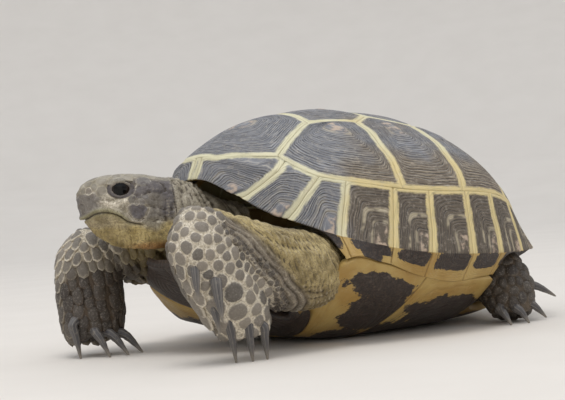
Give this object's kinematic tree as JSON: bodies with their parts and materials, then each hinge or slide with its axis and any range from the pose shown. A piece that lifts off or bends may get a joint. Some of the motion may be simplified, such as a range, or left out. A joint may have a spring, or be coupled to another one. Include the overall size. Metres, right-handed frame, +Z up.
{
  "type": "horsfield's tortoise model",
  "caption": "Still life-size museum-type model of a walking Horsfield's tortoise, with separate shell scutes, head, legs, eyes and claws.",
  "frame": {"origin": "on the floor, under the middle of the bounding box", "axes": "+Z up, -X the way the animal faces, -Y its left side"},
  "size_m": [0.2332, 0.1552, 0.1023],
  "materials": {
    "carapace_horn": "dull ridged horn, slate-grey with yellow-green seams",
    "plastron_horn": "smooth horn, yellow-ochre with dark blotches",
    "skin": "wrinkled scaly skin, olive-grey",
    "jaw_skin": "fine-scaled ochre skin",
    "claw": "dark horn with paler tips",
    "eye": "wet, almost black"
  },
  "bodies": {
    "root": {"abdominal_left": "plastron_horn", "abdominal_right": "plastron_horn", "anal_left": "plastron_horn", "anal_right": "plastron_horn", "claw_front_left_1": "claw", "claw_front_left_2": "claw", "claw_front_left_3": "claw", "claw_front_left_4": "claw", "claw_front_right_1": "claw", "claw_front_right_2": "claw", "claw_front_right_3": "claw", "claw_front_right_4": "claw", "claw_rear_left_1": "claw", "claw_rear_left_2": "claw", "claw_rear_left_3": "claw", "claw_rear_left_4": "claw", "claw_rear_right_1": "claw", "claw_rear_right_2": "claw", "claw_rear_right_3": "claw", "claw_rear_right_4": "claw", "costal_left_1": "carapace_horn", "costal_left_2": "carapace_horn", "costal_left_3": "carapace_horn", "costal_left_4": "carapace_horn", "costal_right_1": "carapace_horn", "costal_right_2": "carapace_horn", "costal_right_3": "carapace_horn", "costal_right_4": "carapace_horn", "eye_left": "eye", "eye_right": "eye", "femoral_left": "plastron_horn", "femoral_right": "plastron_horn", "front_leg_left": "skin", "front_leg_right": "skin", "gular_left": "plastron_horn", "gular_right": "plastron_horn", "head": "skin", "humeral_left": "plastron_horn", "humeral_right": "plastron_horn", "lower_jaw": "jaw_skin", "marginals_left_bridge": "carapace_horn", "marginals_left_front": "carapace_horn", "marginals_left_rear": "carapace_horn", "marginals_right_bridge": "carapace_horn", "marginals_right_front": "carapace_horn", "marginals_right_rear": "carapace_horn", "neck": "skin", "nuchal": "carapace_horn", "pectoral_left": "plastron_horn", "pectoral_right": "plastron_horn", "rear_leg_left": "skin", "rear_leg_right": "skin", "supracaudal": "carapace_horn", "tail": "skin", "trunk": "skin", "vertebral_1": "carapace_horn", "vertebral_2": "carapace_horn", "vertebral_3": "carapace_horn", "vertebral_4": "carapace_horn", "vertebral_5": "carapace_horn"}
  },
  "joints": []
}
